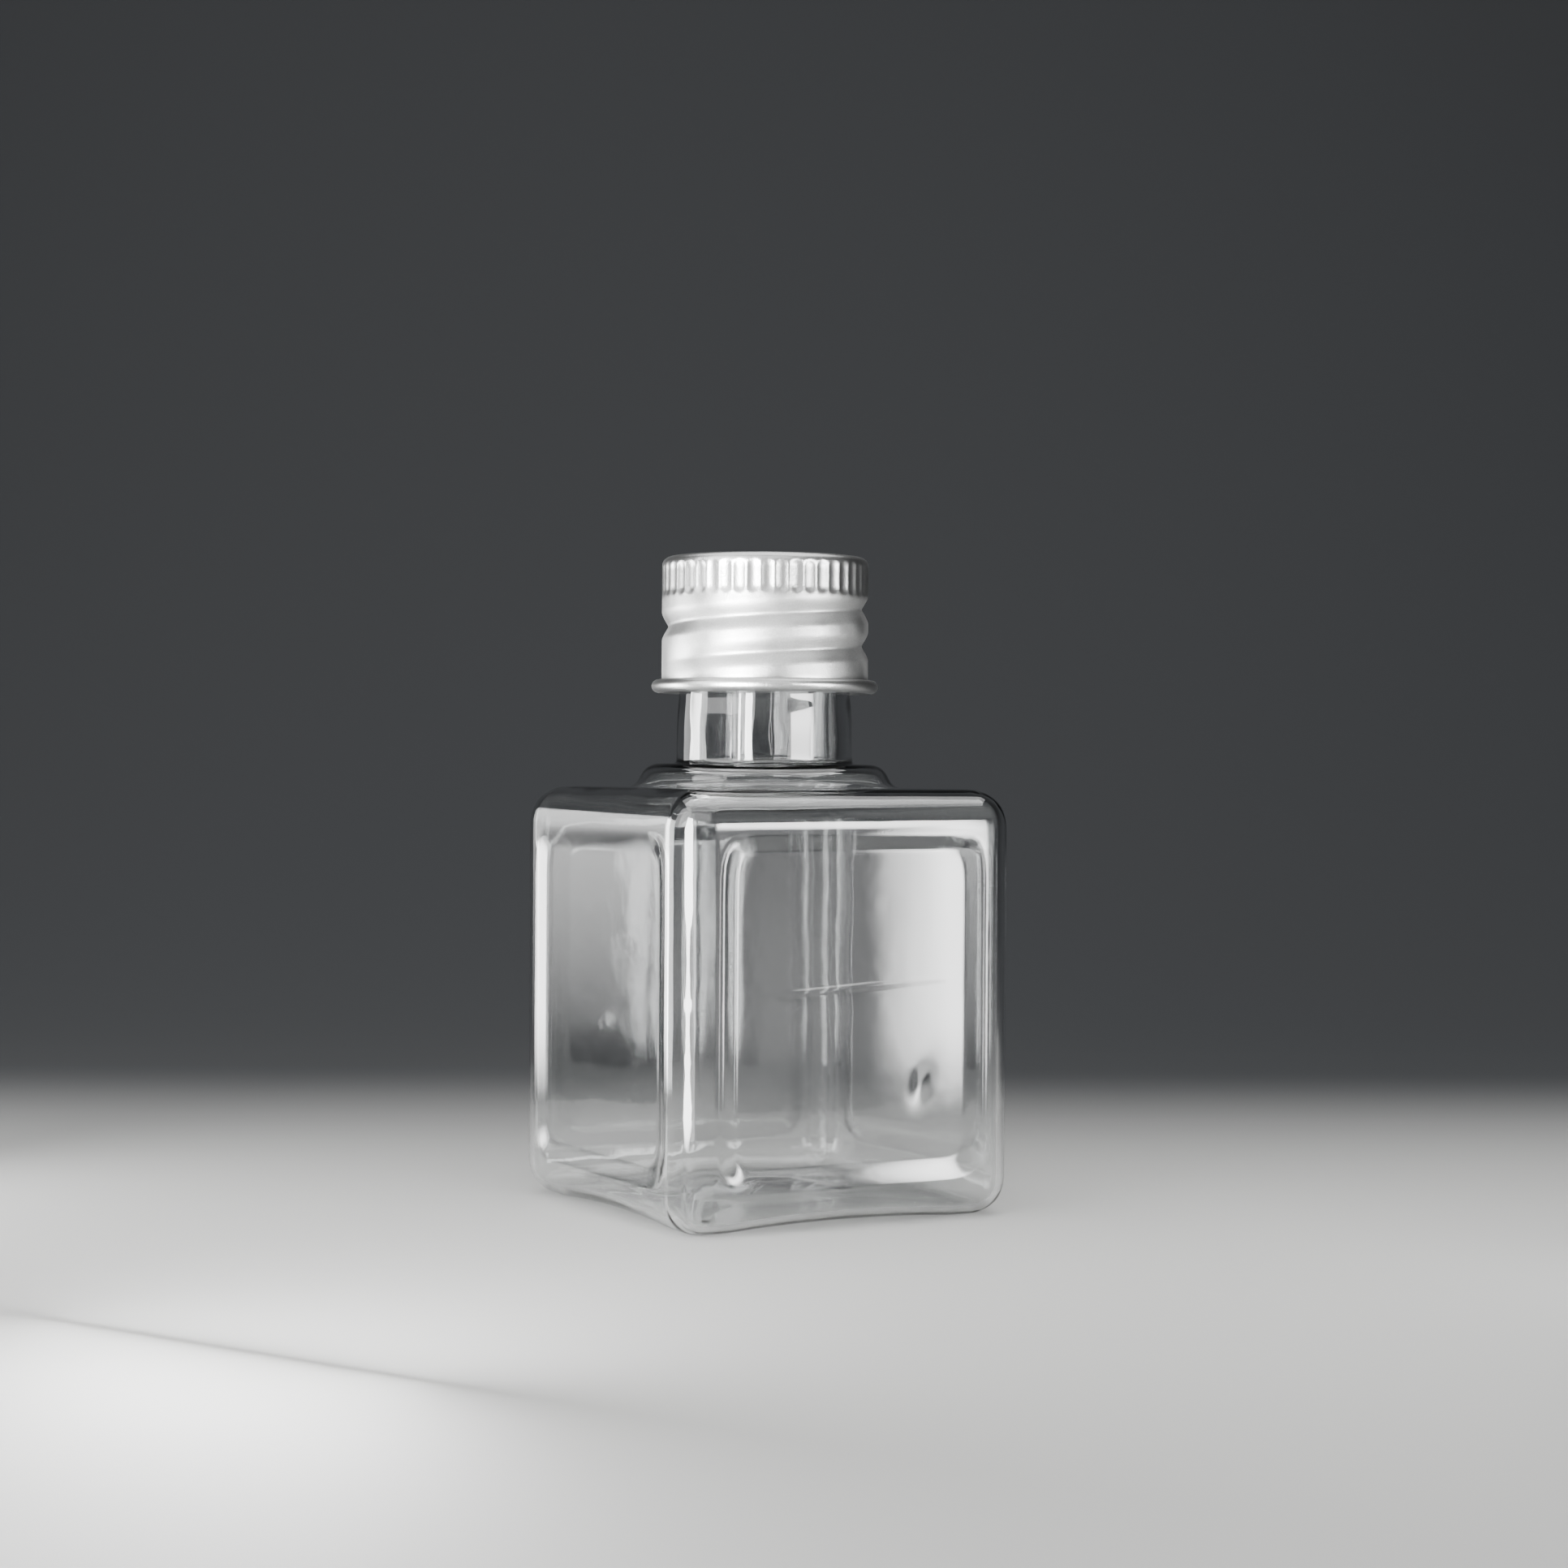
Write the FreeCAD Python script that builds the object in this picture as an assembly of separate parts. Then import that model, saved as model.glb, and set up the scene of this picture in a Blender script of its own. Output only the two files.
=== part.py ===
import FreeCAD, Part
import math
import os

# A small square bottle of clear blown plastic with a rolled aluminium screw cap and its sealing liner.
# Millimetres, +Z up. The origin is the middle of the base, on the surface that the bottle stands on.
# The four flat sides face X and Y, and the neck, the thread and the cap share the Z axis.

# Bottle body
BODY_SIDE = 36.8
BODY_HEIGHT = 41.4
EDGE_RADIUS = 3.6
WALL = 0.8
PANEL_MARGIN = 5.5
PANEL_BEVEL = 1.6
PANEL_DEPTH = 0.35
FOOT_LENGTH = 2.6
ARCH_RISE = 0.45
PUSH_UP_RADIUS = 9.5
PUSH_UP_RISE = 1.6

# Neck, from the threaded finish outwards to the shoulder boss
FINISH_RADIUS = 8.5
FINISH_HEIGHT = 13.0
NECK_WALL = 1.3
NECK_STEP = 0.22
NECK_HEIGHT = 6.15
BOSS_LEDGE = 1.78
BOSS_RUN = 3.2
BOSS_HEIGHT = 2.35
BOSS_HOLLOW_SHARE = 0.42

# Screw thread, right-handed, shared by the neck and the cap
THREAD_PITCH = 3.64
THREAD_TURNS = 1.5
THREAD_START_ANGLE = 202.0
THREAD_HEIGHT = 1.1
THREAD_HALF_WIDTH = 0.9
THREAD_PLAY = 0.23

# Cap shell
CAP_CLEARANCE = 0.35
CAP_SHEET = 0.3
CAP_SKIRT_HEIGHT = 13.45
CAP_CORNER_RADIUS = 0.85
CURL_RADIUS = 0.65
CURL_END_ANGLE = 110.0
GROOVE_DEPTH = 0.62
GROOVE_RADIUS = 1.4
GROOVE_START_HEIGHT = 3.4
FLUTE_COUNT = 46
FLUTE_RADIUS = 1.0
FLUTE_DEPTH = 0.2
FLUTE_LENGTH = 3.3
FLUTE_TOP_MARGIN = 0.85

# Sealing liner
LINER_THICKNESS = 1.0
LINER_CLEARANCE = 0.15

# How far a cutting tool passes beyond the face that it cuts
OVERCUT = 1.0

# Radii worked out from the sizes above
BORE_RADIUS = FINISH_RADIUS - NECK_WALL
NECK_RADIUS = FINISH_RADIUS + NECK_STEP
BOSS_TOP_RADIUS = NECK_RADIUS + BOSS_LEDGE
BOSS_BASE_RADIUS = BOSS_TOP_RADIUS + BOSS_RUN
THREAD_CREST_RADIUS = FINISH_RADIUS + THREAD_HEIGHT
CAP_INNER_RADIUS = THREAD_CREST_RADIUS + CAP_CLEARANCE
CAP_RADIUS = CAP_INNER_RADIUS + CAP_SHEET
GROOVE_PATH_RADIUS = CAP_RADIUS + GROOVE_RADIUS - GROOVE_DEPTH
RIDGE_PATH_RADIUS = THREAD_CREST_RADIUS - THREAD_HALF_WIDTH

# Levels worked out from the sizes above
BOSS_TOP_Z = BODY_HEIGHT + BOSS_HEIGHT
NECK_TOP_Z = BOSS_TOP_Z + NECK_HEIGHT
RIM_Z = NECK_TOP_Z + FINISH_HEIGHT
CAP_TOP_Z = RIM_Z + LINER_THICKNESS + CAP_SHEET
CAP_BOTTOM_Z = CAP_TOP_Z - CAP_SKIRT_HEIGHT
GROOVE_START_Z = CAP_BOTTOM_Z + GROOVE_START_HEIGHT

X_AXIS = FreeCAD.Vector(1, 0, 0)
Y_AXIS = FreeCAD.Vector(0, 1, 0)
Z_AXIS = FreeCAD.Vector(0, 0, 1)
ORIGIN = FreeCAD.Vector(0, 0, 0)


def at(radius, z):
    """A point of a turned outline, in the XZ plane."""
    return FreeCAD.Vector(radius, 0, z)


def on_circle(centre, radius, degrees):
    """The point of a circle in the XZ plane at an angle from +X."""
    angle = math.radians(degrees)
    return at(centre.x + radius * math.cos(angle), centre.z + radius * math.sin(angle))


def line(start, end):
    return Part.LineSegment(start, end).toShape()


def arc(centre, radius, start_degrees, end_degrees):
    """An arc in the XZ plane, from one angle to another."""
    middle_degrees = (start_degrees + end_degrees) / 2
    points = [on_circle(centre, radius, a) for a in (start_degrees, middle_degrees, end_degrees)]
    return Part.Arc(*points).toShape()


def turned(edges):
    """The solid that a closed outline in the XZ plane makes about the Z axis."""
    return Part.Face(Part.Wire(Part.__sortEdges__(edges))).revolve(ORIGIN, Z_AXIS, 360)


def arc_through(half_span, rise):
    """The radius of a circle that rises by a height over half a span."""
    return (half_span ** 2 + rise ** 2) / (2 * rise)


def panel_tool(inset):
    """The shallow bevelled recess in the +X side, for a surface that lies inset below the outer one."""
    floor_x = BODY_SIDE / 2 - PANEL_DEPTH - inset
    floor_half_width = BODY_SIDE / 2 - PANEL_MARGIN - PANEL_BEVEL
    floor_half_height = BODY_HEIGHT / 2 - PANEL_MARGIN - PANEL_BEVEL
    middle_z = BODY_HEIGHT / 2
    wires = []
    for out in (0, PANEL_DEPTH + OVERCUT):
        spread = out * PANEL_BEVEL / PANEL_DEPTH
        y = floor_half_width + spread
        z = floor_half_height + spread
        corners = [FreeCAD.Vector(floor_x + out, sy * y, middle_z + sz * z)
                   for sy, sz in ((-1, -1), (1, -1), (1, 1), (-1, 1))]
        wires.append(Part.makePolygon(corners + corners[:1]))
    return Part.makeLoft(wires, True, True)


def arch_tool(inset, axis):
    """The low arch that lifts the base between the corner feet, along one axis."""
    half_span = BODY_SIDE / 2 - EDGE_RADIUS - FOOT_LENGTH
    radius = arc_through(half_span, ARCH_RISE)
    length = BODY_SIDE + 2 * OVERCUT
    start = FreeCAD.Vector(0, 0, ARCH_RISE - radius) - axis * (length / 2)
    return Part.makeCylinder(radius + inset, length, start, axis)


def push_up_tool(inset):
    """The dome that is pushed up in the middle of the base."""
    radius = arc_through(PUSH_UP_RADIUS, PUSH_UP_RISE)
    return Part.makeSphere(radius + inset, FreeCAD.Vector(0, 0, PUSH_UP_RISE - radius))


def blown_body(inset):
    """The square body below the shoulder, drawn in by inset on every side."""
    side = BODY_SIDE - 2 * inset
    corner = FreeCAD.Vector(-side / 2, -side / 2, inset)
    box = Part.makeBox(side, side, BODY_HEIGHT - 2 * inset, corner)
    body = box.makeFillet(EDGE_RADIUS - inset, box.Edges)
    panel = panel_tool(inset)
    tools = [panel.rotated(ORIGIN, Z_AXIS, 90 * quarter) for quarter in range(4)]
    tools += [arch_tool(inset, X_AXIS), arch_tool(inset, Y_AXIS), push_up_tool(inset)]
    return body.cut(tools)


def boss_edges(inset):
    """The S-shaped slope of the shoulder boss: hollow at its foot and round at its top."""
    slope = 2 * math.degrees(math.atan2(BOSS_HEIGHT, BOSS_RUN))
    both_radii = BOSS_RUN / math.sin(math.radians(slope))
    hollow_radius = both_radii * BOSS_HOLLOW_SHARE
    round_radius = both_radii - hollow_radius
    hollow_centre = at(BOSS_BASE_RADIUS, BODY_HEIGHT + hollow_radius)
    round_centre = at(BOSS_TOP_RADIUS, BOSS_TOP_Z - round_radius)
    return [arc(hollow_centre, hollow_radius + inset, 270, 270 - slope),
            arc(round_centre, round_radius - inset, 90 - slope, 90)]


def shoulder_and_neck(inset, tube_steps):
    """The boss and what stands on it. tube_steps lists (radius, top level) of each length of the neck."""
    foot_z = BODY_HEIGHT - EDGE_RADIUS
    boss_top = BOSS_TOP_Z - inset
    edges = [line(at(0, foot_z), at(BOSS_BASE_RADIUS, foot_z)),
             line(at(BOSS_BASE_RADIUS, foot_z), at(BOSS_BASE_RADIUS, BODY_HEIGHT - inset))]
    edges += boss_edges(inset)
    corner = at(BOSS_TOP_RADIUS, boss_top)
    for radius, top in tube_steps:
        foot = at(radius, corner.z)
        edges += [line(corner, foot), line(foot, at(radius, top))]
        corner = at(radius, top)
    edges += [line(corner, at(0, corner.z)), line(at(0, corner.z), at(0, foot_z))]
    return turned(edges)


def helical_rod(path_radius, rod_radius, start_z):
    """A round rod along the shared thread's helix, with ball ends."""
    rise = THREAD_PITCH * THREAD_TURNS
    helix = Part.makeHelix(THREAD_PITCH, rise, path_radius)
    start = at(path_radius, 0)
    tangent = FreeCAD.Vector(0, 2 * math.pi * path_radius, THREAD_PITCH)
    section = Part.Wire(Part.makeCircle(rod_radius, start, tangent))
    rod = Part.Wire(helix).makePipeShell([section], True, True)
    end = FreeCAD.Rotation(Z_AXIS, 360 * THREAD_TURNS).multVec(start) + Z_AXIS * rise
    rod = rod.fuse([Part.makeSphere(rod_radius, start), Part.makeSphere(rod_radius, end)])
    rod.rotate(ORIGIN, Z_AXIS, THREAD_START_ANGLE)
    rod.translate(Z_AXIS * start_z)
    return rod


def neck_thread():
    """The thread ridge, which lies above the groove pressed into the cap and holds the cap down."""
    apart = GROOVE_RADIUS + CAP_SHEET + THREAD_PLAY + THREAD_HALF_WIDTH
    rise = math.sqrt(apart ** 2 - (GROOVE_PATH_RADIUS - RIDGE_PATH_RADIUS) ** 2)
    ridge = helical_rod(RIDGE_PATH_RADIUS, THREAD_HALF_WIDTH, GROOVE_START_Z + rise)
    return ridge.cut(Part.makeCylinder(FINISH_RADIUS - NECK_WALL / 2, RIM_Z + OVERCUT))


def make_bottle():
    outside = blown_body(0).fuse([shoulder_and_neck(0, [(NECK_RADIUS, NECK_TOP_Z), (FINISH_RADIUS, RIM_Z)]),
                                  neck_thread()])
    inside = blown_body(WALL).fuse(shoulder_and_neck(WALL, [(BORE_RADIUS, RIM_Z + OVERCUT)]))
    return outside.cut(inside)


def cap_blank():
    """The drawn cap before threading: flat top, round corner, straight skirt and an outward curl below."""
    curl_inner = CURL_RADIUS - CAP_SHEET
    curl_centre = at(CAP_RADIUS + curl_inner, CAP_BOTTOM_Z + CURL_RADIUS)
    curl_end = 360 + CURL_END_ANGLE
    tip = [on_circle(curl_centre, radius, curl_end) for radius in (curl_inner, CURL_RADIUS)]
    corner_centre = at(CAP_RADIUS - CAP_CORNER_RADIUS, CAP_TOP_Z - CAP_CORNER_RADIUS)
    top_under = CAP_TOP_Z - CAP_SHEET
    edges = [line(at(0, CAP_TOP_Z), at(corner_centre.x, CAP_TOP_Z)),
             arc(corner_centre, CAP_CORNER_RADIUS, 90, 0),
             line(at(CAP_RADIUS, corner_centre.z), at(CAP_RADIUS, curl_centre.z)),
             arc(curl_centre, curl_inner, 180, curl_end),
             line(tip[0], tip[1]),
             arc(curl_centre, CURL_RADIUS, curl_end, 180),
             line(at(CAP_INNER_RADIUS, curl_centre.z), at(CAP_INNER_RADIUS, corner_centre.z)),
             arc(corner_centre, CAP_CORNER_RADIUS - CAP_SHEET, 0, 90),
             line(at(corner_centre.x, top_under), at(0, top_under)),
             line(at(0, top_under), at(0, CAP_TOP_Z))]
    return turned(edges)


def flute_tools():
    """Round-ended rods that press the grip flutes into the top of the skirt."""
    path_radius = CAP_RADIUS + FLUTE_RADIUS - FLUTE_DEPTH
    half_width = math.sqrt(FLUTE_RADIUS ** 2 - (FLUTE_RADIUS - FLUTE_DEPTH) ** 2)
    top = CAP_TOP_Z - FLUTE_TOP_MARGIN - half_width
    bottom = CAP_TOP_Z - FLUTE_TOP_MARGIN - FLUTE_LENGTH + half_width
    rod = Part.makeCylinder(FLUTE_RADIUS, top - bottom, at(path_radius, bottom))
    rod = rod.fuse([Part.makeSphere(FLUTE_RADIUS, at(path_radius, z)) for z in (bottom, top)])
    return [rod.rotated(ORIGIN, Z_AXIS, 360 * n / FLUTE_COUNT) for n in range(FLUTE_COUNT)]


def flute_backing():
    """The band inside the skirt that the pressed flutes push in."""
    foot_z = CAP_TOP_Z - FLUTE_TOP_MARGIN - FLUTE_LENGTH
    height = FLUTE_LENGTH + FLUTE_TOP_MARGIN - CAP_CORNER_RADIUS
    middle_radius = (CAP_RADIUS + CAP_INNER_RADIUS) / 2
    band = Part.makeCylinder(middle_radius, height, at(0, foot_z))
    return band.cut(Part.makeCylinder(CAP_INNER_RADIUS - FLUTE_DEPTH, height, at(0, foot_z)))


def make_cap_shell():
    pressed_in = helical_rod(GROOVE_PATH_RADIUS, GROOVE_RADIUS + CAP_SHEET, GROOVE_START_Z)
    middle_radius = (CAP_RADIUS + CAP_INNER_RADIUS) / 2
    core = Part.makeCylinder(middle_radius, CAP_SKIRT_HEIGHT, at(0, CAP_BOTTOM_Z))
    shell = cap_blank().fuse([pressed_in.common(core), flute_backing()])
    groove = helical_rod(GROOVE_PATH_RADIUS, GROOVE_RADIUS, GROOVE_START_Z)
    return shell.cut([groove] + flute_tools())


def make_cap_liner():
    groove_reach = CAP_RADIUS - GROOVE_DEPTH - CAP_SHEET
    return Part.makeCylinder(groove_reach - LINER_CLEARANCE, LINER_THICKNESS, at(0, RIM_Z))


def export(name, shape):
    shape.exportStep("parts/" + name + ".step")
    print(name, "solids", len(shape.Solids), "valid", shape.isValid(), "volume", round(shape.Volume, 2))


os.makedirs("parts", exist_ok=True)
export("bottle", make_bottle())
export("cap_shell", make_cap_shell())
export("cap_liner", make_cap_liner())
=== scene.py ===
import math
import random

import bmesh
import bpy
from mathutils import Matrix, Vector


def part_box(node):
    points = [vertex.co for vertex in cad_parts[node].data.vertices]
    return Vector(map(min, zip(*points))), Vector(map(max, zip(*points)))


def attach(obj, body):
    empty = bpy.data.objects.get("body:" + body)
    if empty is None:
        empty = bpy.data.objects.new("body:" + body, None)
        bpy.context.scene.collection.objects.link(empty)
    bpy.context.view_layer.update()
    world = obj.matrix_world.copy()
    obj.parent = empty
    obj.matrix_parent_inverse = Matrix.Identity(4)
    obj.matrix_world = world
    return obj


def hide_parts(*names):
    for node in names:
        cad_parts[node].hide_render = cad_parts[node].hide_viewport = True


bl_info = {
    "name": "Clear square bottle",
    "version": (1, 0, 0),
    "blender": (4, 5, 0),
    "location": "View3D > Sidebar > Bottle",
    "description": "Models the looks of a clear square bottle with an aluminium screw cap on its CAD frame",
    "category": "Object",
}

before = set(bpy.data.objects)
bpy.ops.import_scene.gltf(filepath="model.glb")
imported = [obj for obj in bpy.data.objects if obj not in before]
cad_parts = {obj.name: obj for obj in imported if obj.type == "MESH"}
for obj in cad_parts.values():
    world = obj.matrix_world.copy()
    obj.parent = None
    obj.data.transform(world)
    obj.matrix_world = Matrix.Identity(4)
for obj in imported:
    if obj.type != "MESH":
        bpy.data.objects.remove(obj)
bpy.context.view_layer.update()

# The bottle and its cap in the CAD frame: metres, +Z up, origin in the middle of the base.
MM = 0.001
BOTTLE_LOW, BOTTLE_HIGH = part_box("bottle")
CAP_LOW, CAP_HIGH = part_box("cap_shell")
LINER_LOW, LINER_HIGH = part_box("cap_liner")
SIDE = BOTTLE_HIGH.x - BOTTLE_LOW.x
RIM_Z = BOTTLE_HIGH.z
CAP_TOP_Z = CAP_HIGH.z
CAP_BOTTOM_Z = CAP_LOW.z
CURL_OUTER_RADIUS = CAP_HIGH.x
LINER_RADIUS = LINER_HIGH.x

# The four sides face X and Y. The mould closed on the diagonal plane x = y, through two upright corners.
PARTING_NORMAL = Vector((1, -1, 0)).normalized()
UP = Vector((0, 0, 1))


def linear(hex_colour):
    """An sRGB hex colour as linear RGBA."""
    channels = [int(hex_colour[i:i + 2], 16) / 255 for i in (1, 3, 5)]
    return [c / 12.92 if c <= 0.04045 else ((c + 0.055) / 1.055) ** 2.4 for c in channels] + [1.0]


class BottleSizes(bpy.types.PropertyGroup):
    """Sizes of the blown bottle."""

    body_height: bpy.props.FloatProperty(
        name="Body height", description="Height of the square body, up to its flat top",
        default=41.4 * MM, unit="LENGTH")
    edge_radius: bpy.props.FloatProperty(
        name="Edge radius", description="Rounding of every edge of the body", default=3.6 * MM, unit="LENGTH")
    wall: bpy.props.FloatProperty(
        name="Wall", description="Thickness of the blown wall", default=0.8 * MM, unit="LENGTH")
    panel_margin: bpy.props.FloatProperty(
        name="Panel margin",
        description="From the side's edge to the bevel of its panel, more than the edge radius",
        default=3.8 * MM, unit="LENGTH")
    panel_bevel: bpy.props.FloatProperty(
        name="Panel bevel", description="Width of the bevel round a panel", default=2.5 * MM, unit="LENGTH")
    panel_depth: bpy.props.FloatProperty(
        name="Panel depth", description="How far a panel lies below its side",
        default=0.5 * MM, unit="LENGTH")
    foot_length: bpy.props.FloatProperty(
        name="Foot length", description="Flat length of each corner foot", default=2.6 * MM, unit="LENGTH")
    arch_rise: bpy.props.FloatProperty(
        name="Arch rise", description="How far the base lifts between two feet",
        default=0.45 * MM, unit="LENGTH")
    push_up_radius: bpy.props.FloatProperty(
        name="Push-up radius", description="Radius of the dome in the base", default=9.5 * MM, unit="LENGTH")
    push_up_rise: bpy.props.FloatProperty(
        name="Push-up rise", description="Height of the dome in the base", default=1.6 * MM, unit="LENGTH")
    boss_base_radius: bpy.props.FloatProperty(
        name="Boss foot", description="Radius of the shoulder boss at its foot",
        default=13.7 * MM, unit="LENGTH")
    boss_top_radius: bpy.props.FloatProperty(
        name="Boss top", description="Radius of the shoulder boss at its top",
        default=10.5 * MM, unit="LENGTH")
    boss_height: bpy.props.FloatProperty(
        name="Boss height", description="Height of the shoulder boss", default=2.35 * MM, unit="LENGTH")
    neck_radius: bpy.props.FloatProperty(
        name="Neck radius", description="Radius of the plain neck", default=8.72 * MM, unit="LENGTH")
    neck_height: bpy.props.FloatProperty(
        name="Neck height", description="Height of the plain neck", default=6.15 * MM, unit="LENGTH")
    finish_radius: bpy.props.FloatProperty(
        name="Finish radius", description="Radius at the root of the thread", default=8.5 * MM, unit="LENGTH")
    bore_radius: bpy.props.FloatProperty(
        name="Bore radius", description="Radius of the mouth", default=7.2 * MM, unit="LENGTH")
    thread_height: bpy.props.FloatProperty(
        name="Thread height", description="Height of the thread ridge", default=1.1 * MM, unit="LENGTH")
    waviness: bpy.props.FloatProperty(
        name="Waviness", description="How far the blown wall wanders", default=0.022 * MM, unit="LENGTH")
    parting_ridge: bpy.props.FloatProperty(
        name="Parting ridge", description="Height of the mould's parting line",
        default=0.16 * MM, unit="LENGTH")
    dent_depth: bpy.props.FloatProperty(
        name="Dent depth", description="Depth of the small dent in one side",
        default=0.15 * MM, unit="LENGTH")
    flow_mark: bpy.props.FloatProperty(
        name="Flow mark", description="Height of the faint level mark across that side",
        default=0.06 * MM, unit="LENGTH")


class CapSizes(bpy.types.PropertyGroup):
    """Sizes of the rolled cap and its liner."""

    radius: bpy.props.FloatProperty(
        name="Skirt radius", description="Outer radius of the skirt", default=10.25 * MM, unit="LENGTH")
    sheet: bpy.props.FloatProperty(
        name="Sheet", description="Thickness of the aluminium", default=0.3 * MM, unit="LENGTH")
    corner_radius: bpy.props.FloatProperty(
        name="Corner radius", description="Rounding of the top corner", default=0.85 * MM, unit="LENGTH")
    flute_count: bpy.props.IntProperty(
        name="Flutes", description="Grip flutes round the cap", default=46, min=8)
    flute_depth: bpy.props.FloatProperty(
        name="Flute depth", description="Depth of a grip flute", default=0.16 * MM, unit="LENGTH")
    flute_length: bpy.props.FloatProperty(
        name="Flute length", description="Length of a grip flute", default=3.3 * MM, unit="LENGTH")
    flute_top_margin: bpy.props.FloatProperty(
        name="Flute margin", description="From the cap's top to a flute", default=0.7 * MM, unit="LENGTH")
    pitch: bpy.props.FloatProperty(
        name="Pitch", description="Rise of the thread in one turn", default=3.64 * MM, unit="LENGTH")
    turns: bpy.props.FloatProperty(name="Turns", description="Turns of the thread", default=1.5)
    thread_start: bpy.props.FloatProperty(
        name="Thread start", description="Angle where the thread starts", default=math.radians(202),
        subtype="ANGLE")
    groove_start: bpy.props.FloatProperty(
        name="Groove start", description="From the cap's lower edge to the groove's start",
        default=3.4 * MM, unit="LENGTH")
    groove_depth: bpy.props.FloatProperty(
        name="Groove depth", description="Depth of the rolled groove", default=0.66 * MM, unit="LENGTH")
    groove_half_width: bpy.props.FloatProperty(
        name="Groove half width", description="Half the width of the rolled groove",
        default=1.45 * MM, unit="LENGTH")


class StageSettings(bpy.types.PropertyGroup):
    """Floor, light and camera."""

    floor_colour: bpy.props.FloatVectorProperty(
        name="Floor", description="Linear colour of the floor", default=linear("#D6D6D4"),
        size=4, min=0, max=1, subtype="COLOR")
    # The backdrop colour is painted shade: the paper fades to it behind the bottle, where the light falls
    # off.
    backdrop_shade_colour: bpy.props.FloatVectorProperty(
        name="Backdrop", description="Linear colour of the paper behind the bottle",
        default=linear("#2E3033"), size=4, min=0, max=1, subtype="COLOR")
    card_glow: bpy.props.FloatProperty(
        name="Cards", description="Radiance of the bright cards round the bottle", default=38.0, min=0)
    dim_share: bpy.props.FloatProperty(
        name="Dim share",
        description="Radiance of the cards' dim parts, as a share of the bright ones",
        default=0.033, min=0, max=1, subtype="FACTOR")
    front_glow: bpy.props.FloatProperty(
        name="Front softbox", description="Radiance of the large softbox above the camera",
        default=2.4, min=0)
    top_glow: bpy.props.FloatProperty(
        name="Top softbox", description="Radiance of the softbox overhead", default=3.2, min=0)
    left_glow: bpy.props.FloatProperty(
        name="Left softbox", description="Radiance of the softbox on the left of the cap", default=5.0, min=0)
    room_glow: bpy.props.FloatProperty(
        name="Room", description="Radiance of the dim room around", default=0.15, min=0)
    focal_length: bpy.props.FloatProperty(
        name="Focal length", description="Lens on a 36 mm square sensor, in millimetres", default=66.6)


# Small helpers for modelling

def smooth(low, high, value):
    """0 below low, 1 above high, and an S-shaped rise between them; it falls where low is above high."""
    share = min(max((value - low) / (high - low), 0.0), 1.0)
    return share * share * (3 - 2 * share)


def deselect():
    bpy.ops.object.select_all(action="DESELECT")


def start_piece(name):
    """Names the primitive that was just added and opens it in edit mode."""
    piece = bpy.context.active_object
    piece.name = name
    piece.data.name = name
    bpy.ops.object.transform_apply(location=True, rotation=True, scale=True)
    bpy.ops.object.mode_set(mode="EDIT")
    return piece


def pick(piece, kind, test):
    """Selects the vertices, edges or faces of the piece in edit mode that pass a test, and nothing else."""
    modes = {"verts": "VERT", "edges": "EDGE", "faces": "FACE"}
    bpy.ops.mesh.select_mode(type=modes[kind])
    bpy.ops.mesh.select_all(action="DESELECT")
    mesh = bmesh.from_edit_mesh(piece.data)
    for element in getattr(mesh, kind):
        if test(element):
            element.select_set(True)
    mesh.select_flush_mode()
    bmesh.update_edit_mesh(piece.data)


def middle(element):
    """The middle of an edge or a face."""
    return sum((v.co for v in element.verts), Vector()) / len(element.verts)


def extrude_ring(steps):
    """Extrudes the selected ring of edges through (radius, level) steps about the Z axis."""
    radius, level = steps[0]
    for new_radius, new_level in steps[1:]:
        bpy.ops.mesh.extrude_edges_move(TRANSFORM_OT_translate={"value": (0, 0, new_level - level)})
        share = new_radius / radius
        bpy.ops.transform.resize(value=(share, share, 1), center_override=(0, 0, 0))
        radius, level = new_radius, new_level


def apply_modifier(piece, kind, name, **settings):
    """Adds a modifier with these settings and applies it."""
    modifier = piece.modifiers.new(name, kind)
    for key, value in settings.items():
        setattr(modifier, key, value)
    bpy.context.view_layer.objects.active = piece
    bpy.ops.object.modifier_apply(modifier=name)


def press(piece, name, depth, share_at, direction="NORMAL", texture=None, mid_level=0.0):
    """Displaces the piece by depth times a share from 0 to 1 that share_at gives for each vertex."""
    group = piece.vertex_groups.new(name=name)
    for vertex in piece.data.vertices:
        share = share_at(vertex)
        if share > 0:
            group.add([vertex.index], min(share, 1.0), "REPLACE")
    settings = {"strength": depth, "mid_level": mid_level, "direction": direction, "vertex_group": name}
    if texture:
        settings.update(texture=texture, texture_coords="LOCAL")
    apply_modifier(piece, "DISPLACE", name, **settings)
    piece.vertex_groups.remove(piece.vertex_groups[name])


def clouds(name, size):
    """A soft noise for displacing, with features about as wide as size."""
    texture = bpy.data.textures.new(name, "CLOUDS")
    texture.noise_scale = size
    texture.noise_depth = 1
    return texture


# The thread and its groove fade out over this angle at both ends.
THREAD_FADE = math.radians(40)
# A larger power lets the flanks run out more softly, and a larger roundness makes the crest blunter.
FLANK_POWER = 1.7
THREAD_ROUNDNESS = 2.0
GROOVE_ROUNDNESS = 1.25


def helix_share(point, start_level, half_width, sizes, roundness):
    """How deep in the shared screw thread a point lies: 1 on its line, 0 beside it.

    It fades out at both ends of the thread.
    """
    around = (math.atan2(point.y, point.x) - sizes.thread_start) % math.tau
    best = 0.0
    for turn in range(-1, 3):
        angle = around + turn * math.tau
        past_end = angle - sizes.turns * math.tau
        ends = smooth(-THREAD_FADE, THREAD_FADE, angle) * (1 - smooth(-THREAD_FADE, THREAD_FADE, past_end))
        beside = (point.z - start_level - sizes.pitch * angle / math.tau) / half_width
        if ends > 0 and abs(beside) < 1:
            best = max(best, ends * (1 - abs(beside) ** roundness) ** FLANK_POWER)
    return best


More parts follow.
